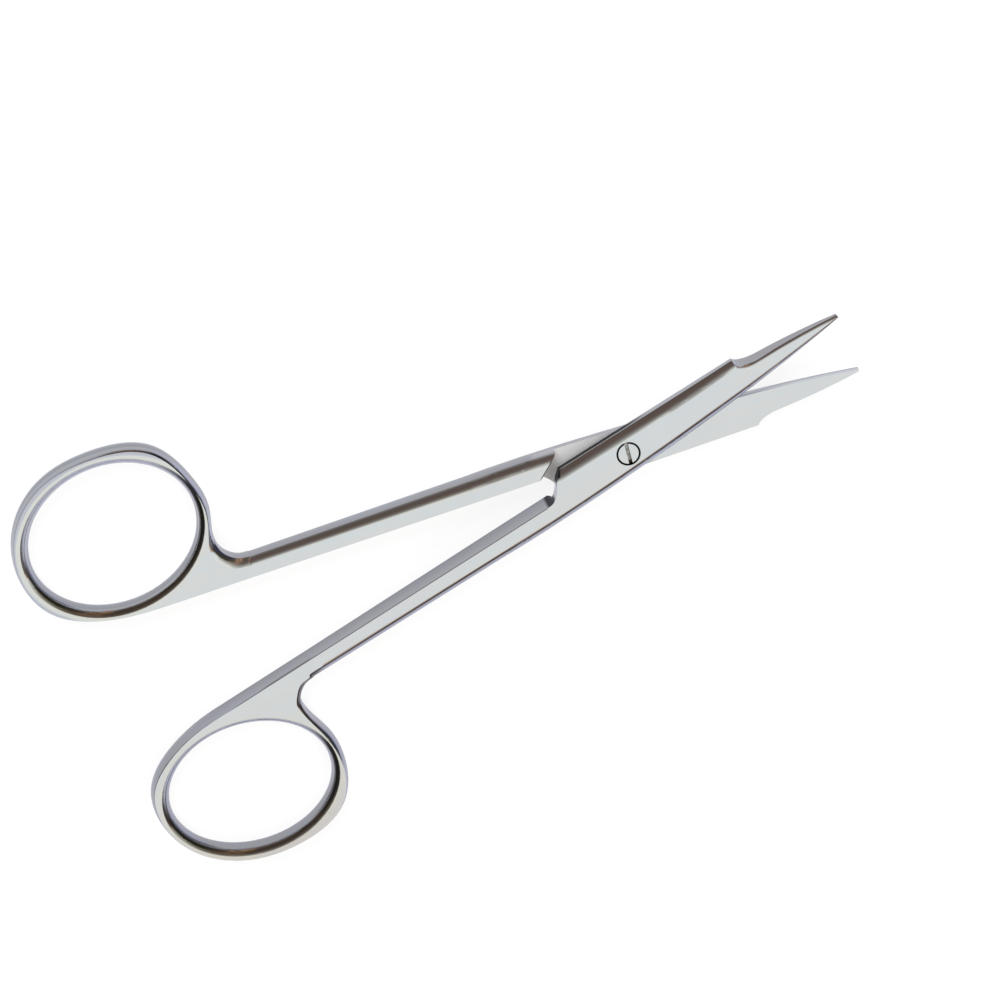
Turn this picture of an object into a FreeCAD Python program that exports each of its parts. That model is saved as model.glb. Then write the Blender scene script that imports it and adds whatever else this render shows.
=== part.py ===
import FreeCAD, Part

import math
import os

# Tenotomy scissors, in millimetres: two crossed halves on one slotted screw.
# Each half is drawn closed, lap face at z = 0, pivot axis through the origin,
# tip along +X, ring on the -Y side; then it is turned and stood on z = 0.

# overall
half_height = 1.95
lap_gap = 0.02
rest_opening = 14.33

# shank, from the notch of the ring's web to the joint
notch_end_x = -51.3
ring_half_height = 1.75
taper_start_x = notch_end_x + 0.3
taper_end_x = -22.0
outer_y = -3.4
inner_y_ring = -0.81
inner_y_joint = -0.44
inner_x_ring = notch_end_x - 11.7

# long edges at full height: the round over the lap side, the bevel under it, the bevel of the back
outer_round = 1.0
under_width = 1.09
under_depth = 0.9
back_y = 3.04
back_width = 1.25
back_depth = 0.85
round_fall = [(0.0, 0.0), (0.5, 0.04), (1.0, 0.4), (1.0, 1.0)]
bevel_fall = [(0.0, 0.0), (0.4, 0.04), (0.7, 0.35), (1.0, 1.0)]

# blade
cutting_edge = [(-12.0, -3.42), (0.0, -3.0), (6.0, -2.7), (12.0, -2.29), (22.5, -1.48), (28.5, -0.85), (34.0, -0.13)]
flat_end_x = 6.0
taper_slope = 0.067
taper_from_x = 11.9
taper_blend = 2.4495
back_line = [(18.25, 3.3), (18.45, 2.85), (19.3, 2.3), (20.6, 1.93), (22.5, 1.75), (28.5, 1.15), (33.1, 0.45)]
back_rake = 0.55
back_round = 0.5
back_round_tilts = [50.0, 37.0, 25.0, 12.0]
tip_x = 33.5
tip_y = 0.12
tip_low = (33.2, -0.22)
tip_inset = 0.15

# half-lap joint
shoulder_outer = (-9.2, -3.4)
shoulder_inner = (-11.4, -1.33)
crotch = [(-12.6, inner_y_joint), (-11.6, 0.0), (-10.7, 1.0), (-9.95, 2.2), (-8.9, 3.3)]

# finger rings, each ground by hand: outlines halfway up from the hole's centre,
# the notch of the web also along the flats, from its end
hole_x = notch_end_x - 16.87
hole_y = outer_y - 8.88
hole_long = 11.44
upper_hole_short = 9.21
lower_hole_short = 9.61
hole_angle = -12.5
hole_round = 1.35
hole_round_over = 1.03
hole_turns = (-78, -55, -30, 0, 30, 55, 78)
edge_steps = 5
edge_spacing = 1.5
ring_crown = 0.45
crown_start_share = 0.5
upper_ring = [
    (-1.83, 11.43),
    (-6.98, 10.28),
    (-11.63, 7.13),
    (-13.38, 1.28),
    (-11.88, -4.42),
    (-6.98, -9.32),
    (1.17, -11.67),
    (9.07, -9.92),
    (12.77, -4.02),
    (13.17, 0.48),
]
lower_ring = [
    (-1.83, 11.38),
    (-7.03, 10.33),
    (-11.68, 7.18),
    (-13.58, 1.28),
    (-12.28, -4.57),
    (-7.33, -9.82),
    (0.97, -11.82),
    (8.87, -9.82),
    (12.42, -3.82),
    (13.12, 0.68),
]
notch_top = [(-5.54, -3.22), (-5.65, -2.1), (-4.8, -0.7), (-3.9, 0.35), (-2.9, 0.78), (-1.7, 0.93)]
notch_mid = [(-4.6, -3.7), (-4.4, -2.3), (-3.55, -1.0), (-2.7, -0.4), (-1.9, -0.12), (-1.0, -0.03)]
notch_over_share = 0.45
web_sink = 0.05
web_overlap = 1.0
ring_bevel_upper = [0.0, 0.0, 0.08, 0.25]
ring_bevel_lower = [0.05, 0.1, 0.12, 0.12]

# pivot screw
head_radius = 1.48
head_clearance = 0.1
head_depth = 0.95
head_edge = 0.09
pin_radius = 1.0
pin_clearance = 0.03
slot_width = 0.5
slot_depth = 0.5
slot_angle = 81.0

shank_start_x = notch_end_x - web_overlap
spare = 2 * half_height


def v(x, y, z=0.0):
    return FreeCAD.Vector(x, y, z)


def line(a, b):
    return Part.makeLine(a, b)


def curve(points, start=None, end=None):
    spline = Part.BSplineCurve()
    if start is None:
        spline.interpolate(points)
    else:
        spline.interpolate(Points=points, InitialTangent=start, FinalTangent=end)
    return spline.toShape()


def prism(edges, low, high, lean=0.0):
    face = Part.Face(Part.Wire(edges))
    height = high - low
    face.translate(v(0, -lean * low, low))
    return face.extrude(v(0, -lean * height, height))


def closed(points):
    return [line(a, b) for a, b in zip(points, points[1:] + points[:1])]


def top_at(x):
    """Half the height of the half at x: ring, rising shank, level joint, falling blade."""
    if x <= taper_start_x:
        return ring_half_height
    if x < taper_end_x:
        part = (x - taper_start_x) / (taper_end_x - taper_start_x)
        return ring_half_height + part * (half_height - ring_half_height)
    fall = x - taper_from_x
    soft = (fall + math.hypot(fall, taper_blend)) / 2
    return half_height - taper_slope * soft if x > flat_end_x else half_height


def corner(x, wall_y, flat_z, wide, deep, fall):
    """Edge curve across the half, from the flat at flat_z to the wall at wall_y."""
    bezier = Part.BezierCurve()
    bezier.setPoles([v(x, wall_y + wide * (1 - out), flat_z - deep * down) for out, down in fall])
    return bezier.toShape()


def section(x, y):
    """Closed outline across the half at x, with its outer wall at y."""
    top = top_at(x)
    size = top / half_height
    edges = [
        corner(x, y, top, outer_round * size, outer_round * size, round_fall),
        corner(x, y, -top, under_width * size, -under_depth * size, bevel_fall),
        corner(x, back_y, top, -back_width * size, back_depth * size, bevel_fall),
    ]
    over, under, back = [[edge.Vertexes[0].Point, edge.Vertexes[1].Point] for edge in edges]
    low = v(x, back_y, -top)
    edges += [line(back[0], over[0]), line(over[1], under[1]), line(under[0], low), line(low, back[1])]
    return Part.Wire(Part.__sortEdges__(edges))


def bar():
    """Shank, joint and blade as one bar, before anything is cut away."""
    shank = [(shank_start_x, outer_y), (taper_start_x, outer_y), (taper_end_x, outer_y)]
    joint = [(taper_end_x, outer_y)] + [p for p in cutting_edge if p[0] <= flat_end_x]
    blade = [p for p in cutting_edge if p[0] >= flat_end_x]
    pieces = [Part.makeLoft([section(*p) for p in shank], True, True)]
    pieces.append(Part.makeLoft([section(*p) for p in joint], True))
    pieces.append(Part.makeLoft([section(*p) for p in blade], True))
    return pieces


def along_fall(fall, part):
    """Outward and downward share at a part of the way along an edge curve."""
    rest = 1 - part
    weights = (rest ** 3, 3 * rest * rest * part, 3 * rest * part * part, part ** 3)
    out = sum(weight * pole[0] for weight, pole in zip(weights, fall))
    down = sum(weight * pole[1] for weight, pole in zip(weights, fall))
    return out, down


def ring_outline(z, out, wide, ring_curve, ring_bevel):
    """Closed outline of the ring and its web at height z, part of the way out over an edge of this width."""
    start = notch_over_share if z > 0 else 0.0
    across = start + (1 - start) * out
    inner_end = v(notch_end_x, inner_y(notch_end_x), z)
    inner_start = v(inner_x_ring, inner_y_ring, z)
    web_end = v(notch_end_x, outer_y + wide * (1 - out) + web_sink, z)
    crown = ring_crown * (z / ring_half_height) ** 2
    bevels = [0.0] * (len(ring_curve) - len(ring_bevel)) + ring_bevel
    around = []
    for (x, y), bevel in zip(ring_curve, bevels):
        inward = v(-x, -y).normalize()
        share = crown_start_share if (x, y) == ring_curve[0] else 1.0
        around.append(v(hole_x + x, hole_y + y, z) + inward * (crown * share + bevel * (1 - out)))
    for (top_x, top_y), (mid_x, mid_y) in zip(notch_top, notch_mid):
        notch = v(top_x + across * (mid_x - top_x), top_y + across * (mid_y - top_y), z)
        around.append(notch + v(notch_end_x, outer_y))
    along = v(inner_start.x - inner_end.x, inner_start.y - inner_end.y).normalize()
    outer = curve([inner_start] + around + [web_end], along, v(1, 0))
    return Part.Wire([line(inner_end, inner_start), outer, line(web_end, inner_end)])


def inner_y(x):
    part = (x - inner_x_ring) / (crotch[0][0] - inner_x_ring)
    return inner_y_ring + part * (inner_y_joint - inner_y_ring)


def ring(hole_short, ring_curve, ring_bevel):
    """Finger ring with its web, hole rounded on the inside."""
    top = ring_half_height
    size = top / half_height
    over = outer_round * size
    wide = under_width * size
    deep = under_depth * size
    steps = [(step / edge_steps) ** edge_spacing for step in range(edge_steps + 1)]
    above = []
    below = []
    for part in steps:
        out, down = along_fall(round_fall, part)
        above.append(ring_outline(top - over * down, out, over, ring_curve, ring_bevel))
        out, down = along_fall(bevel_fall, part)
        below.append(ring_outline(-top + deep * down, out, wide, ring_curve, ring_bevel))
    middle = [below[-1], ring_outline((deep - over) / 2, 1.0, over, ring_curve, ring_bevel), above[-1]]
    body = Part.makeLoft(below, True)
    body = body.fuse([Part.makeLoft(middle, True), Part.makeLoft(above, True)])
    return body.cut(finger_hole(hole_short))


def finger_hole(hole_short):
    """Space in the ring: an ellipse that widens towards both flats."""
    rise = ring_half_height * hole_round_over
    levels = []
    for turn in hole_turns:
        angle = math.radians(turn)
        wider = hole_round * (1 - math.cos(angle))
        ellipse = Part.Ellipse(v(0, 0, rise * math.sin(angle)), hole_long + wider, hole_short + wider)
        levels.append(Part.Wire(ellipse.toShape()))
    space = Part.makeLoft(levels, True)
    space.rotate(v(0, 0), v(0, 0, 1), hole_angle)
    space.translate(v(hole_x, hole_y))
    return space


def beyond_back():
    """Spaces behind the narrow blade: the leaning facet, past the tip, and the rounding of its upper edge."""
    facet = math.atan(1 / back_rake)
    spaces = [beyond_line([v(x, y) for x, y in back_line], back_rake)]
    for tilt in back_round_tilts:
        turn = math.radians(tilt)
        lean = 1 / math.tan(turn)
        inset = back_round * (math.tan(facet / 2) - math.tan(turn / 2))
        points = [v(x, y + (lean - back_rake) * top_at(x) - inset) for x, y in back_line[1:]]
        points.insert(0, points[0] + (points[0] - points[1]).normalize() * tip_inset)
        spaces.append(beyond_line(points, lean))
    return spaces


def beyond_line(points, lean):
    """Space behind a line drawn along the blade's back and past the tip."""
    low = v(tip_low[0] - tip_inset, outer_y)
    far = v(tip_x + spare, points[0].y + spare)
    start = v(points[0].x, far.y)
    edges = [curve(points)]
    if lean == back_rake:
        edges.append(Part.Arc(points[-1], v(tip_x, tip_y), v(*tip_low)).toShape())
        edges += [line(v(*tip_low), low), line(low, v(far.x, low.y))]
        edges.append(line(v(far.x, low.y), far))
    else:
        past = points[-1] + (points[-1] - points[-2]).normalize() * half_height
        edges += [line(points[-1], past), line(past, v(past.x, far.y))]
        far = v(past.x, far.y)
    edges += [line(far, start), line(start, points[0])]
    return prism(edges, -half_height, 2 * half_height, lean)


def inside():
    """Space between the two shanks up to the crotch."""
    left = v(shank_start_x, inner_y(shank_start_x))
    joint = v(*crotch[0])
    edge = curve([v(x, y) for x, y in crotch], v(1, 0), v(0.5, 1))
    end = v(*crotch[-1])
    far_y = back_y + spare
    edges = [line(left, joint), edge, line(end, v(end.x, far_y))]
    edges += [line(v(end.x, far_y), v(left.x, far_y)), line(v(left.x, far_y), left)]
    return prism(edges, -spare, spare)


def lap():
    """Space taken by the other half's joint, ending at the slanted shoulder."""
    reach = spare / (shoulder_inner[1] - shoulder_outer[1])
    dx = (shoulder_outer[0] - shoulder_inner[0]) * reach
    low = v(shoulder_outer[0] + dx, shoulder_outer[1] - spare)
    high = v(shoulder_inner[0] - 2 * dx, shoulder_inner[1] + 2 * spare)
    far_x = tip_x + spare
    return prism(closed([low, v(far_x, low.y), v(far_x, high.y), high]), -spare, lap_gap / 2)


def half(hole_short, ring_curve, ring_bevel):
    body = ring(hole_short, ring_curve, ring_bevel).fuse(bar())
    body = body.cut([inside()] + beyond_back())
    body = body.removeSplitter()
    return body.cut(lap())


def screw_space():
    """Stepped hole through the upper half, with a small running clearance."""
    top = half_height
    head = Part.makeCylinder(head_radius + head_clearance, spare, v(0, 0, top - head_depth))
    pin = Part.makeCylinder(pin_radius + pin_clearance, 4 * top, v(0, 0, -2 * top))
    mouth = Part.makeCone(head_radius + head_clearance, head_radius + head_clearance + 2 * head_edge,
                          2 * head_edge, v(0, 0, top - head_edge))
    return head.fuse([pin, mouth])


def screw():
    """Cheese head sunk flush, pin down to the underside of the lower half."""
    top = half_height
    head_low = top - head_depth + pin_clearance
    head = Part.makeCylinder(head_radius, top - head_edge - head_low, v(0, 0, head_low))
    rim = Part.makeCone(head_radius, head_radius - head_edge, head_edge, v(0, 0, top - head_edge))
    pin = Part.makeCylinder(pin_radius, 2 * top - head_depth + 2 * pin_clearance, v(0, 0, -top))
    slot = Part.makeBox(4 * head_radius, slot_width, spare, v(-2 * head_radius, -slot_width / 2, top - slot_depth))
    slot.rotate(v(0, 0), v(0, 0, 1), slot_angle)
    return head.fuse([rim, pin]).cut(slot).removeSplitter()


def placed(shape, turn):
    shape.rotate(v(0, 0), v(0, 0, 1), turn)
    shape.translate(v(0, 0, half_height))
    return shape


upper = half(upper_hole_short, upper_ring, ring_bevel_upper)
lower = half(lower_hole_short, lower_ring, ring_bevel_lower)
lower.rotate(v(0, 0), v(1, 0, 0), 180)
upper = upper.cut(screw_space())
lower = lower.cut(Part.makeCylinder(pin_radius, 4 * half_height, v(0, 0, -2 * half_height)))

nodes = {
    "upper_half": placed(upper, rest_opening / 2),
    "lower_half": placed(lower, -rest_opening / 2),
    "pivot_screw": placed(screw(), 0),
}
os.makedirs("parts", exist_ok=True)
for node, shape in nodes.items():
    shape.exportStep("parts/" + node + ".step")
    box = shape.BoundBox
    print(node, len(shape.Solids), shape.isValid(), round(shape.Volume, 1), box)
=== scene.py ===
import math

import bmesh
import bpy
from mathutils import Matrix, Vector

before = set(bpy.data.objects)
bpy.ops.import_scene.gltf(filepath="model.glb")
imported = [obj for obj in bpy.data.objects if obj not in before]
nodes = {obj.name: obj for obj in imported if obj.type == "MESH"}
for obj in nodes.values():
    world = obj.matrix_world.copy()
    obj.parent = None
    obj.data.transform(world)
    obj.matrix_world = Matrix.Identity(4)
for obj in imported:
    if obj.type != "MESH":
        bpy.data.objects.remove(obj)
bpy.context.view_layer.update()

# Tenotomy scissors on white paper, in metres. The pivot axis stands on the origin.

MM = 0.001

# Lengths of the halves that the steel follows, in millimetres: x along a closed half, y across it

half_turn = math.radians(14.33 / 2)
half_height = 1.95
ring_half_height = 1.75
taper_start_x = -51.0
taper_end_x = -22.0
joint_start_x = -12.0
inner_line_x = -66.0
back_y = 3.04
hole_x = -68.17
hole_y = -12.28
hole_long = 11.44
hole_angle = math.radians(-12.5)
upper_hole_short = 9.21
lower_hole_short = 9.61
recess_radius = 1.75
slot_floor = half_height - 0.45

# Edges as y = start + slope * x + square * x * x

inner_edge = (-0.3475, 0.00734)
far_edge = (-3.0, 0.0471, 0.00101)
cutting_edge = (-2.7216, 0.01401, 0.00183)
edge_round = 1.0
edge_round_slope = 0.0344
blade_taper_x = 11.5

# Colours. The wall, brink, edge, ring, honed, seam, recess and slot colours are painted shade, painted
# reflections and a painted highlight on the steel

steel_warm = (0.79, 0.785, 0.765)
steel_cool = (0.765, 0.785, 0.80)
steel_cloud = (0.74, 0.75, 0.76)
steel_rubbed = (0.71, 0.71, 0.70)
wall_grey_shade = (0.3, 0.3, 0.3)
wall_lilac_shade = (0.25, 0.24, 0.26)
brink_dark_reflection = (0.10, 0.09, 0.10)
edge_warm_reflection = (0.48, 0.34, 0.26)
ring_cream_highlight = (0.81, 0.785, 0.70)
ring_lilac_shade = (0.52, 0.53, 0.60)
ring_brown_reflection = (0.24, 0.19, 0.155)
ring_olive_reflection = (0.22, 0.20, 0.14)
honed_dark_reflection = (0.30, 0.31, 0.36)
honed_light_reflection = (0.66, 0.67, 0.72)
seam_dark_shade = (0.055, 0.055, 0.06)
recess_dark_shade = (0.05, 0.045, 0.04)
slot_dark_shade = (0.06, 0.05, 0.045)
scraped_dark = (0.36, 0.36, 0.33)
scraped_light = (0.75, 0.75, 0.72)
room_dark = (0.108, 0.09, 0.08)
room_bright = (0.846, 0.874, 0.882)
room_left = (0.035, 0.036, 0.04)
room_navy = (0.04, 0.045, 0.085)
room_olive = (0.05, 0.045, 0.02)
room_lavender = (0.50, 0.52, 0.72)
patch_olive = (0.05, 0.045, 0.03)
patch_warm = (0.40, 0.25, 0.17)


# Shader helper

class Value:
    """A shader socket with arithmetic."""

    def __init__(self, sheet, socket):
        self.sheet = sheet
        self.socket = socket

    def maths(self, operation, *others):
        values = dict(enumerate((self, *others)))
        return self.sheet.add("ShaderNodeMath", {"operation": operation}, values)

    def __add__(self, other):
        return self.maths("ADD", other)

    __radd__ = __add__

    def __sub__(self, other):
        return self.maths("SUBTRACT", other)

    def __rsub__(self, other):
        return self.sheet.add("ShaderNodeMath", {"operation": "SUBTRACT"}, {0: other, 1: self})

    def __mul__(self, other):
        return self.maths("MULTIPLY", other)

    __rmul__ = __mul__

    def __truediv__(self, other):
        return self.maths("DIVIDE", other)

    def absolute(self):
        return self.maths("ABSOLUTE")

    def at_least(self, limit):
        return self.maths("MAXIMUM", limit)

    def at_most(self, limit):
        return self.maths("MINIMUM", limit)

    def step(self, low, high):
        """0 below low, 1 above high, smooth between; low above high turns it round."""
        return self.sheet.add(
            "ShaderNodeMapRange",
            {"interpolation_type": "SMOOTHSTEP"},
            {"Value": self, "From Min": low, "From Max": high},
        )


class Sheet:
    """The node sheet of one material or of the world."""

    def __init__(self, owner):
        owner.use_nodes = True
        self.tree = owner.node_tree
        self.tree.nodes.clear()

    def add(self, kind, settings=None, values=None, output=0):
        node = self.tree.nodes.new(kind)
        for name, setting in (settings or {}).items():
            if name == "stops":
                ramp = node.color_ramp.elements
                while len(ramp) < len(setting):
                    ramp.new(0.5)
                for stop, (place, colour) in zip(ramp, setting):
                    stop.position = place
                    stop.color = (*colour, 1)
            else:
                setattr(node, name, setting)
        for name, value in (values or {}).items():
            if isinstance(value, Value):
                self.tree.links.new(value.socket, node.inputs[name])
            else:
                node.inputs[name].default_value = value
        return Value(self, node.outputs[output])

    def finish(self, surface, kind="ShaderNodeOutputMaterial"):
        end = self.tree.nodes.new(kind)
        self.tree.links.new(surface.socket, end.inputs["Surface"])

    def parts(self, vector):
        node = self.add("ShaderNodeSeparateXYZ", None, {0: vector}).socket.node
        return [Value(self, node.outputs[axis]) for axis in range(3)]

    def mix(self, factor, first, second):
        """First colour where factor is 0, second where it is 1."""
        colours = [value if isinstance(value, Value) else (*value, 1) for value in (first, second)]
        return self.add("ShaderNodeMix", {"data_type": "RGBA"}, {0: factor, 6: colours[0], 7: colours[1]}, 2)


# Steel

def half_frame(sheet, mirrored):
    """Place, and millimetres along the closed half, across it and above the lap plane."""
    place = sheet.add("ShaderNodeTexCoord", output="Object")
    scale = (1 / MM, -1 / MM if mirrored else 1 / MM, 1 / MM)
    turned = sheet.add(
        "ShaderNodeMapping",
        None,
        {"Vector": place, "Scale": scale, "Rotation": (0, 0, -half_turn)},
    )
    along, across, height = sheet.parts(turned)
    return place, along, across, height - half_height


def polished_steel(sheet, place, along, across, height):
    """Base colour, roughness and normal of polished steel with long faint streaks and fine lines."""
    drawn = sheet.add("ShaderNodeCombineXYZ", None, {0: along * 0.035, 1: across * 0.75, 2: height * 0.3})
    streaks = sheet.add("ShaderNodeTexNoise", None, {"Vector": drawn, "Scale": 1.0, "Detail": 2.0})
    fine = sheet.add("ShaderNodeCombineXYZ", None, {0: along * 0.06, 1: across * 0.9, 2: height * 0.9})
    lines = sheet.add("ShaderNodeTexNoise", None, {"Vector": fine, "Scale": 1.0, "Detail": 3.0})
    clouds = sheet.add("ShaderNodeTexNoise", None, {"Vector": place, "Scale": 260.0, "Detail": 2.0})
    tint = sheet.mix(streaks.step(0.35, 0.65), steel_warm, steel_cool)
    tint = sheet.mix(clouds.step(0.3, 0.7) * 0.25, tint, steel_cloud)
    dull = lines * 0.04 + clouds * 0.04 + 0.08
    bump = sheet.add("ShaderNodeBump", None, {"Height": lines, "Strength": 0.03, "Distance": 0.0001})
    return tint, dull, bump


def metal(sheet, colour, dull, bump, bright=1.0):
    return sheet.add(
        "ShaderNodeBsdfPrincipled",
        None,
        {"Base Color": colour, "Metallic": bright, "Roughness": dull, "Normal": bump},
    )


def steel_depth(along, height):
    """Millimetres below the top face, which slopes down to the ring."""
    rise = ((along - taper_start_x) / (taper_end_x - taper_start_x)).at_least(0).at_most(1)
    return rise * (half_height - ring_half_height) + ring_half_height - height


def lower_shank(sheet, tint, along, depth):
    """Painted shade: walls greyer below the top face along the shank."""
    shank = along.step(joint_start_x, joint_start_x - 1.0)
    wall = shank * depth.step(0.75, 1.0) * depth.step(3.6, 1.2)
    # Painted shade: the walls are mixed towards grey
    return sheet.mix(wall * 0.35, tint, wall_grey_shade)


def upper_shank(sheet, tint, along, across, height, depth):
    """Painted shade and reflections: lilac walls, darker further below the top face, a painted dark
    reflection line along the inner wall's top and a painted warm reflection where the far edge rounds.
    """
    shank = along.step(joint_start_x, joint_start_x - 1.0)
    wall = shank * depth.step(0.05, 0.3)
    # Painted shade: walls mixed towards lilac, more the deeper they go
    tint = sheet.mix(wall * (depth * 0.1 + 0.2), tint, wall_lilac_shade)

    # Painted dark reflection along the top of the inner wall
    start, slope = inner_edge
    line = depth.step(0.19, 0.13) * (across - (along * slope + start)).step(-0.09, -0.05)
    line = line * along.step(inner_line_x, inner_line_x + 4.0)
    line = line * along.step(joint_start_x - 0.5, joint_start_x - 1.5)
    tint = sheet.mix(line * 0.85, tint, brink_dark_reflection)

    # Painted warm reflection where the far edge rounds
    start, slope, square = far_edge
    run = along.at_least(joint_start_x)
    rounding = edge_round - (along - blade_taper_x).at_least(0) * edge_round_slope
    inside = across - (run * run * square + run * slope + start) - rounding
    warm = inside.step(0.16, 0.04) * inside.step(-0.25, -0.12)
    warm = warm * height.step(0.3, 0.6) * along.step(taper_start_x + 0.5, taper_start_x + 1.0)
    return sheet.mix(warm * 0.8, tint, edge_warm_reflection)


def finger_ring(sheet, tint, along, across, depth, mirrored):
    """Painted highlight and reflections: a bright line beside the hole, a brown reflection on the bevel at
    the notch, a dark reflection on the rounding inside the hole, a dark reflection line on the upper ring's
    outer brink and lilac shade on the lower ring's outer flat.
    """
    right = along - hole_x
    up = across - hole_y
    reach = (right * math.cos(hole_angle) + up * math.sin(hole_angle)) / hole_long
    short = lower_hole_short if mirrored else upper_hole_short
    width = (up * math.cos(hole_angle) - right * math.sin(hole_angle)) / short
    radius = (reach * reach + width * width).maths("SQRT")

    # Painted highlight: bright cream line beside the hole
    cream = radius.step(1.155, 1.12) * depth.step(0.05, 0.01)
    tint = sheet.mix(cream * 0.6, tint, ring_cream_highlight)
    outside = radius.step(1.135, 1.16) * along.step(taper_start_x + 1.0, taper_start_x - 1.0)
    if mirrored:
        # Painted lilac shade on the outer flat, away from the joint
        away = (across + right * 0.5).step(-6.0, -9.0)
        flat = outside * away * depth.step(0.3, 0.1)
        tint = sheet.mix(flat * 0.75, tint, ring_lilac_shade)
        near_side = width.step(-0.2, 0.2)
        bevel = right.step(1.0, 5.0) * up.step(3.0, -1.0) * depth.step(0.42, 0.25)
    else:
        # Painted dark reflection along the outer wall's brink
        brink = depth.step(0.17, 0.11) * right.step(5.0, 1.0) * up.step(-6.0, -2.0)
        brink = outside * brink * depth.step(0.005, 0.02)
        tint = sheet.mix(brink * 0.8, tint, brink_dark_reflection)
        near_side = (-1 * width).step(-0.45, -0.1)
        bevel = right.step(8.0, 11.0) * up.step(-2.0, 4.0) * depth.step(0.6, 0.35)
    # Painted brown reflection on the bevel at the notch
    bevel = outside * bevel * depth.step(0.005, 0.03)
    tint = sheet.mix(bevel * 0.8, tint, ring_brown_reflection)
    # Painted dark reflection on the rounding inside the hole
    rounding = radius.step(1.10, 1.085) * near_side * depth.step(0.55, 0.3)
    return sheet.mix(rounding * 0.75, tint, ring_olive_reflection)


def lap_face(sheet, tint, along, across, height):
    """Matte where the halves rub behind the screw; a painted reflection on the honed band beside the cutting
    edge, darker nearer the screw.
    """
    on_lap = height.absolute().step(0.06, 0.03) * along.step(joint_start_x - 0.5, joint_start_x)
    rubbed = on_lap * along.step(4.0, 1.0)
    tint = sheet.mix(rubbed, tint, steel_rubbed)
    # Painted reflection on the honed band beside the cutting edge
    start, slope, square = cutting_edge
    inside = across - (along * along * square + along * slope + start)
    honed = on_lap * along.step(9.0, 12.0) * inside.step(0.32, 0.22)
    honed_reflection_tint = sheet.mix(along.step(15.0, 25.0), honed_dark_reflection, honed_light_reflection)
    return sheet.mix(honed, tint, honed_reflection_tint), rubbed


def lower_seam(along, across, depth):
    """Painted shade: thin dark line where the shank's shoulder meets the lap face."""
    shoulder = (along + 9.2) * 0.685 + (across + 3.4) * 0.728
    seam = shoulder.step(-0.16, -0.08) * shoulder.step(0.1, 0.0) * depth.step(0.1, 0.05)
    return seam * along.step(joint_start_x - 0.5, joint_start_x) * along.step(-8.5, -9.0)


def upper_seam(along, across, height, depth):
    """Painted shade: dark back wall, crotch wall and inner corner of the joint."""
    behind = (across - back_y).step(-0.15, -0.05) * height.step(0.98, 0.8) * along.step(6.0, 1.0)
    crotch = (along - across * 0.75 + 11.45).step(0.35, 0.2)
    crotch = crotch * across.step(1.2, 2.0) * depth.step(0.1, 0.2)
    corner = across.step(0.7, 0.2) * across.step(-0.9, -0.7) * depth.step(0.05, 0.15)
    corner = corner * along.step(-13.3, -12.7) * along.step(-11.3, -11.8)
    seam = (behind + crotch).maths("MAXIMUM", corner).at_most(1)
    return seam * along.step(-13.4, -12.9)


def half_steel(name, mirrored):
    """Steel of one half: shank, finger ring, lap face, and painted shade in the seams and recess of the
    joint.
    """
    material = bpy.data.materials.new(name)
    sheet = Sheet(material)
    place, along, across, height = half_frame(sheet, mirrored)
    depth = steel_depth(along, height)
    tint, dull, bump = polished_steel(sheet, place, along, across, height)
    if mirrored:
        tint = lower_shank(sheet, tint, along, depth)
        seam = lower_seam(along, across, depth)
    else:
        tint = upper_shank(sheet, tint, along, across, height, depth)
        seam = upper_seam(along, across, height, depth)
    tint = finger_ring(sheet, tint, along, across, depth, mirrored)
    tint, rubbed = lap_face(sheet, tint, along, across, height)
    # Painted shade in the seams of the joint
    tint = sheet.mix(seam, tint, seam_dark_shade)
    # Painted shade in the recess around the screw
    from_axis = (along * along + across * across).maths("SQRT")
    hollow = from_axis.step(recess_radius, recess_radius - 0.05)
    hollow = hollow * height.absolute().step(half_height, half_height - 0.02)
    tint = sheet.mix(hollow, tint, recess_dark_shade)
    dull = dull + rubbed * 0.3 + hollow * 0.4 + seam * 0.3
    sheet.finish(metal(sheet, tint, dull, bump, 1 - rubbed * 0.8))
    return material


def screw_steel():
    """Steel of the screw: worn head, slot with a scraped floor, and painted shade darkening the slot's sides
    and end.
    """
    material = bpy.data.materials.new("screw_steel")
    sheet = Sheet(material)
    place, along, across, height = half_frame(sheet, False)
    tint, dull, bump = polished_steel(sheet, place, along, across, height)
    sunk = height.step(half_height - 0.02, half_height - 0.1)
    floor = height.step(slot_floor + 0.03, slot_floor - 0.03)
    end = across.step(-0.85, -1.15)
    scraped = sheet.add("ShaderNodeTexNoise", None, {"Vector": place, "Scale": 2600.0, "Detail": 2.0})
    worn = sheet.mix(scraped.step(0.4, 0.65), scraped_dark, scraped_light)
    # Painted shade: the slot's sides and end darkened
    tint = sheet.mix(sunk, tint, slot_dark_shade)
    tint = sheet.mix(floor * (1 - end), tint, worn)
    sheet.finish(metal(sheet, tint, dull + sunk * 0.3, bump))
    return material


nodes["upper_half"].data.materials[0] = half_steel("upper_steel", False)
nodes["lower_half"].data.materials[0] = half_steel("lower_steel", True)
nodes["pivot_screw"].data.materials[0] = screw_steel()


# Paper, room and light

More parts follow.
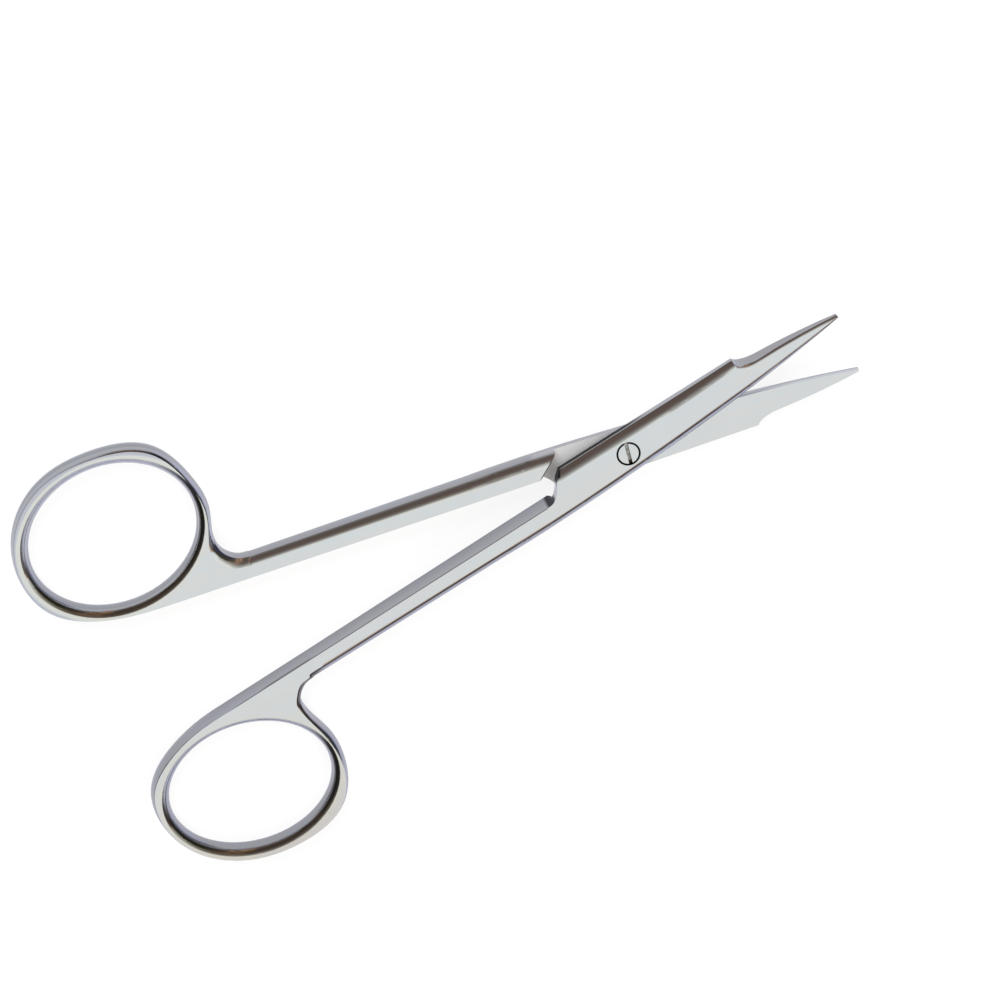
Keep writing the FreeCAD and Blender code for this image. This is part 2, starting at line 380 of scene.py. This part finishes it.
def paper():
    """White paper just below the scissors, seen with their soft shadow."""
    mesh = bmesh.new()
    bmesh.ops.create_grid(mesh, x_segments=1, y_segments=1, size=1.5)
    data = bpy.data.meshes.new("paper")
    mesh.to_mesh(data)
    mesh.free()
    floor = bpy.data.objects.new("paper", data)
    bpy.context.scene.collection.objects.link(floor)
    floor.location.z = -0.02 * MM
    material = bpy.data.materials.new("paper")
    sheet = Sheet(material)
    diffuse = sheet.add("ShaderNodeBsdfDiffuse", None, {"Color": (0.86, 0.86, 0.87, 1)})
    faint = sheet.add("ShaderNodeBsdfDiffuse", None, {"Color": (0.22, 0.22, 0.22, 1)})
    glow = sheet.add("ShaderNodeEmission", None, {"Color": (1, 1, 1, 1), "Strength": 0.85})
    seen = sheet.add("ShaderNodeAddShader", None, {0: faint, 1: glow})
    camera_ray = sheet.add("ShaderNodeLightPath", output="Is Camera Ray")
    shown = sheet.add("ShaderNodeMixShader", None, {0: camera_ray, 1: diffuse, 2: seen})
    sheet.finish(shown)
    data.materials.append(material)
    floor.visible_glossy = False


# Reflected colours against the angle round the x axis, in degrees: 0 is towards +y, 90 is overhead

room_round = [
    (-180, (0.57, 0.58, 0.71)),
    (-160, (0.59, 0.60, 0.73)),
    (-130, (0.58, 0.59, 0.70)),
    (-100, (0.60, 0.60, 0.67)),
    (-67, (0.53, 0.535, 0.59)),
    (-25, (0.50, 0.51, 0.56)),
    (-8, (0.46, 0.45, 0.48)),
    (3, room_dark),
    (31, (0.13, 0.095, 0.085)),
    (41, (0.145, 0.108, 0.097)),
    (52, (0.175, 0.147, 0.132)),
    (63, (0.23, 0.215, 0.195)),
    (73, (0.34, 0.33, 0.305)),
    (83, (0.50, 0.50, 0.468)),
    (91, (0.72, 0.72, 0.67)),
    (97, (0.93, 0.925, 0.88)),
    (103, (0.90, 0.915, 0.91)),
    (108, room_bright),
    (117, room_bright),
    (118.5, (0.86, 0.77, 0.69)),
    (121, (0.42, 0.31, 0.25)),
    (125, (0.17, 0.12, 0.11)),
    (140, (0.12, 0.105, 0.115)),
    (149, (0.17, 0.17, 0.195)),
    (158, (0.44, 0.465, 0.55)),
    (170, (0.55, 0.565, 0.68)),
    (180, (0.57, 0.58, 0.71)),
]


def room():
    """A bright ceiling behind the scissors, dark room in front of them, white to the camera."""
    world = bpy.data.worlds.new("room")
    bpy.context.scene.world = world
    sheet = Sheet(world)
    direction = sheet.add("ShaderNodeTexCoord", output="Generated")
    x, y, z = sheet.parts(direction)
    turn = z.maths("ARCTAN2", y) / (2 * math.pi) + 0.5
    stops = [((angle + 180) / 360, colour) for angle, colour in room_round]
    sides = sheet.add("ShaderNodeValToRGB", {"stops": stops}, {"Fac": turn})

    left = (-1 * x).step(0.55, 0.85)
    right = x.step(0.62, 0.9)
    upward = z.step(-0.5, -0.1)
    shade = sheet.mix(z.step(0.1, 0.35), room_navy, room_olive)
    sides = sheet.mix(right * z.step(-0.3, -0.6), sides, room_lavender)
    sides = sheet.mix(left * upward, sides, room_left)
    sides = sheet.mix(right * upward, sides, shade)

    patches = sheet.add("ShaderNodeTexNoise", None, {"Vector": direction, "Scale": 5.0, "Detail": 2.0})
    low = z.step(0.02, 0.12) * z.step(0.85, 0.7) * y.step(0.0, 0.3)
    olive = low * x.absolute().step(0.2, 0.35) * patches.step(0.5, 0.42)
    warm = low * x.step(0.22, 0.34) * x.step(0.66, 0.54) * patches.step(0.36, 0.5)
    sides = sheet.mix(olive, sides, patch_olive)
    sides = sheet.mix(warm, sides, patch_warm)

    background = sheet.add("ShaderNodeBackground", None, {"Color": sides, "Strength": 1.0})
    white = sheet.add("ShaderNodeBackground", None, {"Color": (1, 1, 1, 1), "Strength": 1.0})
    camera_ray = sheet.add("ShaderNodeLightPath", output="Is Camera Ray")
    shown = sheet.add("ShaderNodeMixShader", None, {0: camera_ray, 1: background, 2: white})
    sheet.finish(shown, "ShaderNodeOutputWorld")


def lamp(name, place, size, power, colour):
    light = bpy.data.lights.new(name, "AREA")
    light.shape = "DISK"
    light.size = size
    light.energy = power
    light.color = colour
    holder = bpy.data.objects.new(name, light)
    bpy.context.scene.collection.objects.link(holder)
    holder.location = place
    holder.rotation_euler = Vector(place).to_track_quat("Z", "Y").to_euler()
    holder.visible_glossy = False


def camera():
    data = bpy.data.cameras.new("camera")
    data.lens = 89.597
    data.sensor_width = 36.0
    data.clip_start = 0.01
    data.clip_end = 10.0
    holder = bpy.data.objects.new("camera", data)
    bpy.context.scene.collection.objects.link(holder)
    holder.location = (-0.017293, 0.130327, 0.310925)
    holder.rotation_euler = (-0.361319, -0.165261, -0.417685)
    bpy.context.scene.camera = holder


paper()
room()
lamp("window", (0.1, -0.55, 0.5), 0.35, 2.2, (1.0, 0.97, 0.93))
lamp("fill", (-0.05, 0.55, 0.4), 0.5, 4.2, (0.9, 0.92, 1.0))
camera()
bpy.context.scene.view_settings.view_transform = "Standard"
